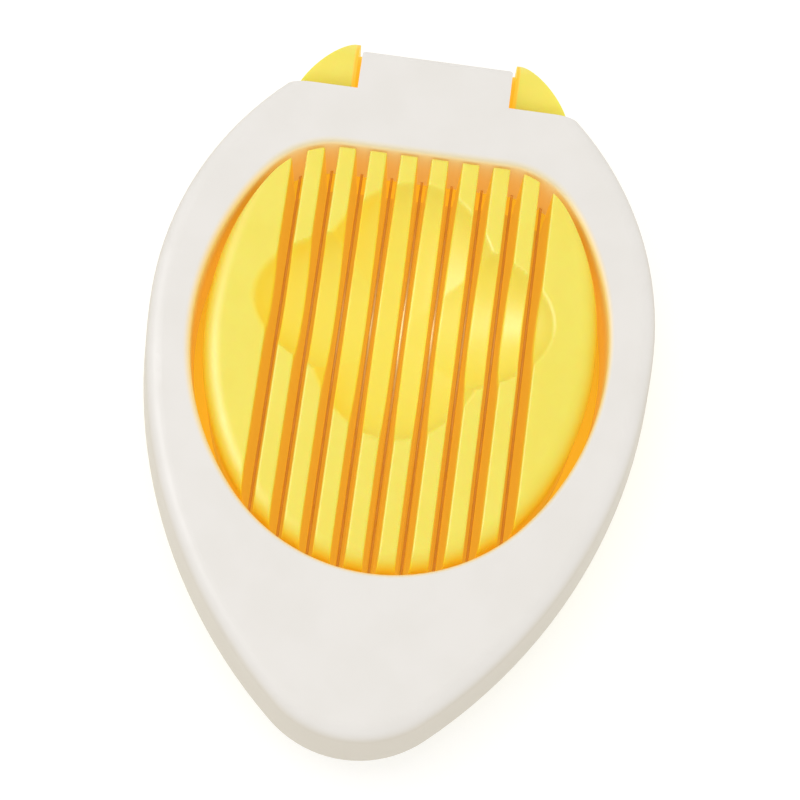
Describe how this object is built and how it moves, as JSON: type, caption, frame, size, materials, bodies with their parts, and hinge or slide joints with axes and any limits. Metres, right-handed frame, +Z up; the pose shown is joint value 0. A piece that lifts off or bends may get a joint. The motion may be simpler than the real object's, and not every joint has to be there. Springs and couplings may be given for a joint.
{
  "type": "egg slicer",
  "caption": "Egg-shaped hinged slicer: a ring lid strung with steel wires closes over a slotted cradle with crossing egg hollows and cuts a boiled egg into slices.",
  "frame": {"origin": "middle of the bounding box on the table plane, under the slicer", "axes": "+Y from the finger nose to the hinge, along the wires; +X across the wires; +Z up from the table"},
  "size_m": [0.0898, 0.128, 0.025],
  "materials": {
    "yellow_tray": "moulded, semi-gloss yellow",
    "yellow_cradle": "moulded, semi-gloss yellow",
    "white_lid": "moulded, satin warm white",
    "white_bars": "moulded, satin warm white",
    "steel_wire": "drawn stainless wire",
    "steel_ferrules": "crimped sleeve",
    "steel_pin": "ground rod"
  },
  "bodies": {
    "base": {"base_tray": "yellow_tray", "egg_cradle": "yellow_cradle", "hinge_pin": "steel_pin"},
    "lid": {"lid_frame": "white_lid", "anchor_bar_front": "white_bars", "anchor_bar_rear": "white_bars", "ferrules_front": "steel_ferrules", "ferrules_rear": "steel_ferrules", "wire_1": "steel_wire", "wire_2": "steel_wire", "wire_3": "steel_wire", "wire_4": "steel_wire", "wire_5": "steel_wire", "wire_6": "steel_wire", "wire_7": "steel_wire", "wire_8": "steel_wire", "wire_9": "steel_wire"}
  },
  "joints": [
    {"name": "lid_hinge", "type": "hinge", "parent": "base", "child": "lid", "pos_m": [0, 0.0584, 0.0175], "axis": [-1, 0, 0], "range_deg": [0, 105]}
  ]
}
